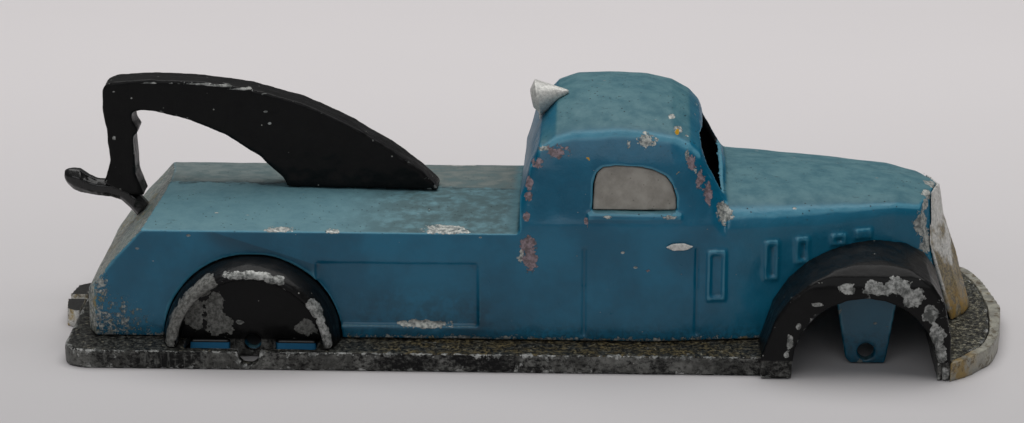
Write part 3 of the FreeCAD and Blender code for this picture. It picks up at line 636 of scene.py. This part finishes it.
# ------------------------------------------------------------------ silver and grey paint
def dulled(p, dull, colour):
    """Grey metal with yellow patches behind the front of the strip."""
    colour = p.blend(dull, colour, p.mottle(p.mid, 0.35, 0.65, (118, 116, 104), (158, 156, 142)))
    ends = p.times(p.step(p.x, 55.5, 53.0), p.step(p.mid, 0.40, 0.55))
    return p.blend(p.times(ends, 0.8), colour, srgb(140, 112, 44))


def yellowed(p, aged, colour):
    """Yellow patches and rust, more of both lower down."""
    spread = p.plus(p.mid, p.times(p.step(p.z, 15.0, 3.0), aged))
    colour = p.blend(p.step(spread, 0.62, 0.86), colour, srgb(172, 146, 72))
    rust = p.plus(p.speckle(1.0, 5.0, 0.75), p.times(p.step(p.z, 14.0, 3.0), 0.08))
    return p.blend(p.times(p.step(rust, 0.60, 0.68), 0.75), colour, srgb(84, 68, 42))


def stained(p, stain, colour):
    """Olive stains on the faces that look ahead, and gold at the foot."""
    broad = p.plus(p.speckle(5.0, 4.0, 0.6), p.times(p.step(p.z, 15.0, 6.0), 0.2))
    face = p.times(p.step(p.fore, 0.62, 0.86), p.step(p.z, 18.0, 13.0),
                   p.step(broad, 0.62 - stain, 0.74 - stain), 0.9)
    colour = p.blend(face, colour, p.mottle(p.fine, 0.42, 0.58, (74, 64, 38), (132, 112, 56)))
    gold = p.times(p.step(p.z, 7.5, 3.5), p.step(p.mid, 0.42, 0.56))
    return p.blend(p.times(gold, 0.85), colour, srgb(168, 132, 52))


def silver_paint(name, aged=0.0, sooty=0.0, stain=0.0, dull=0.0):
    p = Paint(name, 0.4, 1.8, 0.65)
    colour = p.mottle(p.fine, 0.3, 0.7, (178, 178, 174), (226, 225, 220))
    if dull:
        colour = dulled(p, dull, colour)
    if aged:
        colour = yellowed(p, aged, colour)
    if stain:
        colour = stained(p, stain, colour)
    if sooty:
        soot = p.times(p.step(p.up, 0.3, 0.8), p.step(p.mid, 0.7 - sooty, 0.8 - sooty))
        colour = p.blend(soot, colour, srgb(34, 33, 31))
    # painted shade: concave corners darkened
    dirt_and_corner_shade = p.step(p.times(p.edge, -1.0), 0.03, 0.12)
    colour = p.blend(p.times(dirt_and_corner_shade, 0.6), colour, srgb(52, 50, 46))
    rough = p.fade(p.step(p.mid, 0.3, 0.7), 0.34, 0.55)
    height = p.plus(p.times(p.mid, 0.7), p.times(p.fine, 0.4))
    return p.finish(colour, rough, 0.3, height, 0.12)


def window_paint():
    p = Paint("window_grey_silver", mid=2.4)
    colour = p.mottle(p.mid, 0.3, 0.7, (138, 134, 126), (168, 164, 156))
    spots = p.step(p.cells(0.9), 0.14, 0.06)
    colour = p.blend(p.times(spots, 0.5), colour, srgb(84, 78, 72))
    height = p.plus(p.times(p.mid, 0.6), p.times(p.fine, 0.5))
    return p.finish(colour, p.fade(p.mid, 0.5, 0.7), 0.25, height, 0.1)


BLUE = blue_paint()
BLACK = black_paint()
WET = black_paint("black_enamel_glossy", coat=0.9)
CRUST = black_paint("black_enamel_crusted", crumbly=0.16)
SILVER = silver_paint("silver_bright_worn")
AGED = silver_paint("silver_yellowed", aged=0.06, stain=0.14)
STRIP = silver_paint("silver_strip_yellowed", aged=0.03, sooty=0.06, dull=0.85)
PLATE = silver_paint("silver_plate_sooty", aged=0.16, sooty=0.42)
GREY = window_paint()


# ------------------------------------------------------------------ chips
OUTSIDE = -3.0                   # value of a point far from every chip
THINNEST = 1.2                   # a chip reaches at least this far across the truck
FAR_SIDE = (0.8, 0.7)            # chips on the unseen side are this much smaller


def chip_field(obj, name, spots):
    """Stores how far inside a chip each point is: 1 in the middle of one, 0 on its rim, less outside."""
    points = points_of(obj.data) / MM
    best = np.full(len(points), OUTSIDE)
    for x, y, z, rx, rz in spots:
        away = np.sqrt(((points[:, 0] - x) / rx) ** 2 + ((points[:, 2] - z) / rz) ** 2
                       + ((points[:, 1] - y) / max(rx, rz, THINNEST)) ** 2)
        best = np.maximum(best, 1.0 - away)
    store(obj.data, name, best)


def mirrored(spots):
    long, tall = FAR_SIDE
    return [(x, -y, z, rx * long, rz * tall) for x, y, z, rx, rz in spots]


def on_face(y, spots):
    """Spots (x, z, half length, half height) put on a face that lies across the truck at y."""
    return [(x, y, z, rx, rz) for x, z, rx, rz in spots]


def round_arch(turns, radius, y, length, tall):
    """Spots along the lip of a rear arch, at angles in degrees from the front."""
    return [(REAR_AXLE[X] + radius * math.cos(math.radians(a)), y,
             REAR_AXLE[Z] + radius * math.sin(math.radians(a)), length, tall) for a in turns]


# spots: x, y, z, half length, half height, in millimetres
CAB_CHIPS = [(14.3, -12.6, 27.2, 1.3, 1.1), (18.3, -11.5, 28.4, 0.7, 0.45), (12.1, -12.6, 26.9, 0.45, 0.5),
             (23.8, -13.6, 18.4, 1.1, 1.3), (9.5, -15.2, 18.3, 0.6, 0.25), (17.0, -14.9, 18.3, 1.0, 0.25),
             (-0.8, -15.7, 13.2, 0.4, 1.0)]
BOTH_SIDES_CHIPS = [(7.7, -12.6, 26.8, 0.45, 0.45), (2.0, -12.9, 26.3, 0.9, 0.3),
                    (18.6, -5.0, 30.6, 0.4, 0.3), (18.3, -7.0, 30.1, 0.4, 0.25),
                    (17.4, -9.5, 29.4, 0.45, 0.2),
                    (20.5, -10.0, 28.5, 0.3, 0.3), (19.2, -12.9, 25.6, 0.3, 0.9),
                    (20.2, -13.1, 23.9, 0.3, 0.8), (-10.2, -15.6, 16.2, 3.2, 0.3),
                    (-24.0, -15.6, 16.1, 0.8, 0.3), (-30.5, -15.6, 16.1, 1.8, 0.2)]
HOOD_CHIPS = [(50.3, -1.0, 19.0, 1.1, 0.8), (49.4, -4.5, 18.5, 0.9, 0.7), (49.0, -6.6, 17.6, 0.8, 0.8),
              (48.5, -8.0, 15.8, 1.2, 1.5), (49.3, -8.2, 13.4, 1.1, 1.9), (50.2, -8.4, 10.8, 0.45, 1.6)]
BED_CHIPS = [(-12.7, -15.8, 4.3, 3.4, 0.5)]
BODY_CHIPS = CAB_CHIPS + BOTH_SIDES_CHIPS + HOOD_CHIPS + BED_CHIPS + mirrored(BOTH_SIDES_CHIPS)

CAB_PRIMER = [(3.6, -12.6, 25.9, 1.7, 0.9), (1.2, -13.2, 24.5, 0.9, 0.7), (0.2, -15.6, 12.8, 1.0, 1.5),
              (19.6, -13.0, 24.6, 0.6, 1.0), (20.8, -13.2, 22.6, 0.6, 1.3),
              (21.8, -13.3, 20.8, 0.6, 1.4), (14.6, -15.6, 11.8, 0.4, 0.35), (7.0, -15.6, 17.4, 0.25, 0.8)]
BOTH_SIDES_PRIMER = [(-0.1, -14.6, 22.2, 0.6, 0.9), (-0.1, -15.0, 20.6, 0.6, 0.6),
                     (-0.3, -15.3, 18.3, 0.5, 0.7), (-0.1, -15.6, 14.8, 1.1, 1.0)]
BODY_PRIMER = CAB_PRIMER + BOTH_SIDES_PRIMER + mirrored(BOTH_SIDES_PRIMER)
BODY_SPARKS = [(7.2, -13.2, 25.2, 0.4, 0.4), (18.1, -13.6, 23.6, 0.45, 0.35),
               (18.0, -11.8, 28.1, 0.35, 0.3)]

ARCH_CHIPS = (round_arch((38, 32), 9.9, NEAR_ARCH_LIP + 0.1, 0.9, 0.9)
              + round_arch((24, 16, 8), 9.6, NEAR_ARCH_LIP, 0.55, 1.2)
              + round_arch((100, 90, 80, 70), 9.8, NEAR_ARCH_LIP, 1.3, 0.5)
              + on_face(NEAR_RECESS, [(-35.6, 4.6, 0.5, 0.3)]))
ARCH_GREY = (round_arch(range(176, 119, -8), 10.1, NEAR_ARCH_LIP, 1.3, 1.6)
             + on_face(NEAR_RECESS, [(-41.0, 5.6, 1.1, 2.0), (-39.9, 8.6, 1.0, 0.9), (-38.6, 7.0, 1.3, 1.5),
                                     (-38.0, 4.2, 1.8, 1.6), (-27.4, 4.0, 1.2, 1.2)])
             + [(-26.2, -17.5, 3.4, 0.8, 1.2)])
FENDER_CHIPS = on_face(NEAR_FENDER, [
    (38.4, 11.5, 1.0, 0.7), (42.0, 11.7, 1.6, 0.8), (44.6, 11.9, 1.5, 1.3), (46.6, 10.6, 1.3, 1.2),
    (48.6, 8.6, 0.9, 1.3), (49.5, 5.8, 0.9, 1.5), (49.9, 3.2, 0.8, 1.4), (50.3, 1.0, 0.7, 0.9),
    (32.8, 6.8, 0.3, 0.4), (31.8, 4.8, 0.4, 0.9), (31.4, 3.2, 0.35, 0.4), (34.9, 9.6, 0.7, 0.25)])
# Spots on the jib: small chips, and long thin ones along its top crease that are a painted highlight line
# over a worn edge.
JIB_CHIPS_AND_GLINTS = on_face(NEAR_JIB, [
    (-52.4, 30.0, 0.18, 0.18), (-50.2, 29.2, 0.2, 0.2), (-33.4, 27.6, 0.3, 0.15), (-32.9, 26.1, 0.2, 0.15),
    (-52.6, 24.0, 0.2, 0.25), (-47.6, 31.2, 1.6, 0.1), (-44.8, 31.2, 1.5, 0.1), (-41.8, 31.1, 1.7, 0.12),
    (-39.2, 30.9, 1.4, 0.14), (-36.4, 30.5, 1.6, 0.12), (-34.2, 29.9, 0.9, 0.1)])


# ------------------------------------------------------------------ pieces
BODY = ("cab_shell", "hood_shell", "bed_shell")
BOARDS = ("running_board_plate", "tail_board_plate", "rear_skirt_right", "rear_skirt_left")
DOOR_GROOVES = [(x, DOOR_FOOT, DOOR_HEAD, SEAM_WIDTH, SEAM_WIDTH) for x in DOOR_SEAMS]
Piece = namedtuple("Piece", "nodes voxel soften uneven grain material slot chips primer sparks",
                   defaults=((), (), ()))
PLAN = [
    Piece(BODY, 0.21, 2, 0.07, 4.5, BLUE, "blue_paint", BODY_CHIPS, BODY_PRIMER, BODY_SPARKS),
    Piece(BOARDS, 0.34, 2, 0.05, 3.0, BLACK, "black_paint"),
    Piece(("front_apron",), 0.26, 2, 0.05, 2.5, CRUST, "black_paint"),
    Piece(("front_fender_right",), 0.26, 5, 0.05, 3.5, BLACK, "black_paint", FENDER_CHIPS),
    Piece(("front_fender_left",), 0.26, 5, 0.05, 3.5, BLACK, "black_paint", mirrored(FENDER_CHIPS)),
    Piece(("rear_wheel_arch_right",), 0.22, 4, 0.06, 2.5, BLACK, "black_paint", ARCH_CHIPS, ARCH_GREY),
    Piece(("rear_wheel_arch_left",), 0.22, 4, 0.06, 2.5, BLACK, "black_paint", mirrored(ARCH_CHIPS),
          mirrored(ARCH_GREY)),
    Piece(("crane_jib",), 0.22, 4, 0.09, 2.6, BLACK, "black_paint", JIB_CHIPS_AND_GLINTS),
    Piece(("tow_hook",), 0.13, 3, 0.04, 1.2, WET, "black_paint"),
    Piece(("work_lamp",), 0.11, 2, 0.02, 1.2, SILVER, "silver_paint"),
    Piece(("radiator_grille",), 0.2, 2, 0.05, 1.6, AGED, "silver_paint"),
    Piece(("front_bumper",), 0.2, 2, 0.04, 1.6, STRIP, "aged_silver"),
    Piece(("rear_tow_plate",), 0.16, 2, 0.04, 1.4, PLATE, "aged_silver"),
    Piece(("door_handle_right",), 0.09, 2, 0.02, 0.8, SILVER, "silver_paint"),
    Piece(("door_handle_left",), 0.09, 2, 0.02, 0.8, SILVER, "silver_paint"),
    Piece(("window_panel_right",), 0.16, 1, 0.03, 2.0, GREY, "window_paint"),
    Piece(("window_panel_left",), 0.16, 1, 0.03, 2.0, GREY, "window_paint"),
    Piece(("front_axle_bracket",), 0.24, 2, 0.04, 2.5, BLUE, "blue_paint"),
    Piece(("rear_axle_bracket",), 0.26, 2, 0.04, 2.5, BLUE, "blue_paint"),
]
for seed, plan in enumerate(PLAN, start=1):
    piece = cast_piece(plan.nodes, plan.voxel, plan.soften, plan.uneven, plan.grain, float(seed),
                       hollow=plan.nodes is BODY)
    chip_field(piece, "chip", plan.chips)
    chip_field(piece, "primer", plan.primer)
    chip_field(piece, "spark", plan.sparks)
    piece.data.materials.append(plan.material)


# ------------------------------------------------------------------ stage, light and camera
AIM = (0.0, 0.0, 0.01)           # what the lights point at, in metres
CAMERA_AIM = (-0.0026, 0.0, 0.0143)
CAMERA_TILT, CAMERA_YAW = math.radians(16.5), math.radians(2.1)
CAMERA_REACH = 0.4304            # from the camera to what it points at, in metres
FOCAL = 3.3203125                # focal length over the picture's width


def stage_floor():
    mesh = bpy.data.meshes.new("floor")
    mesh.from_pydata([(-4, -3, 0), (4, -3, 0), (4, 5, 0), (-4, 5, 0)], [], [(0, 1, 2, 3)])
    floor = bpy.data.objects.new("floor", mesh)
    bpy.context.scene.collection.objects.link(floor)
    p = Paint("floor_pale")
    shade = p.speckle(60.0, 2.0)
    # painted light falloff: the floor is coloured darker towards the camera and lighter far back
    painted_falloff = p.fade(0.9, shade, p.step(p.y, -90.0, 150.0))
    colour = p.blend(painted_falloff, srgb(190, 188, 189), srgb(226, 222, 223))
    mesh.materials.append(p.finish(colour, 0.9, 0.0, shade, 0.02))


def soft_light(name, place, wide, tall, power, tint):
    data = bpy.data.lights.new(name, "AREA")
    data.shape = "RECTANGLE"
    data.size, data.size_y = wide, tall
    data.energy = power
    data.color = tint
    lamp = bpy.data.objects.new(name, data)
    lamp.location = place
    lamp.rotation_euler = (Vector(AIM) - Vector(place)).to_track_quat("-Z", "Y").to_euler()
    bpy.context.scene.collection.objects.link(lamp)


def studio():
    stage_floor()
    soft_light("top_soft", (0.02, 0.10, 0.62), 0.9, 0.7, 4.2, (1.0, 0.99, 0.98))
    soft_light("front_fill", (-0.10, -0.75, 0.45), 0.8, 0.5, 1.3, (0.97, 0.98, 1.0))
    world = bpy.data.worlds.new("room")
    world.use_nodes = True
    background = world.node_tree.nodes["Background"]
    background.inputs["Color"].default_value = (0.80, 0.80, 0.81, 1.0)
    background.inputs["Strength"].default_value = 0.15
    bpy.context.scene.world = world


def camera():
    back = Vector((math.sin(CAMERA_YAW) * math.cos(CAMERA_TILT),
                   -math.cos(CAMERA_YAW) * math.cos(CAMERA_TILT),
                   math.sin(CAMERA_TILT)))
    data = bpy.data.cameras.new("camera")
    data.sensor_width = 36.0
    data.lens = FOCAL * data.sensor_width
    data.clip_start, data.clip_end = 0.01, 20.0
    eye = bpy.data.objects.new("camera", data)
    eye.location = Vector(CAMERA_AIM) + back * CAMERA_REACH
    eye.rotation_euler = back.to_track_quat("Z", "Y").to_euler()
    bpy.context.scene.collection.objects.link(eye)
    bpy.context.scene.camera = eye


studio()
camera()
bpy.context.scene.view_settings.view_transform = "Standard"
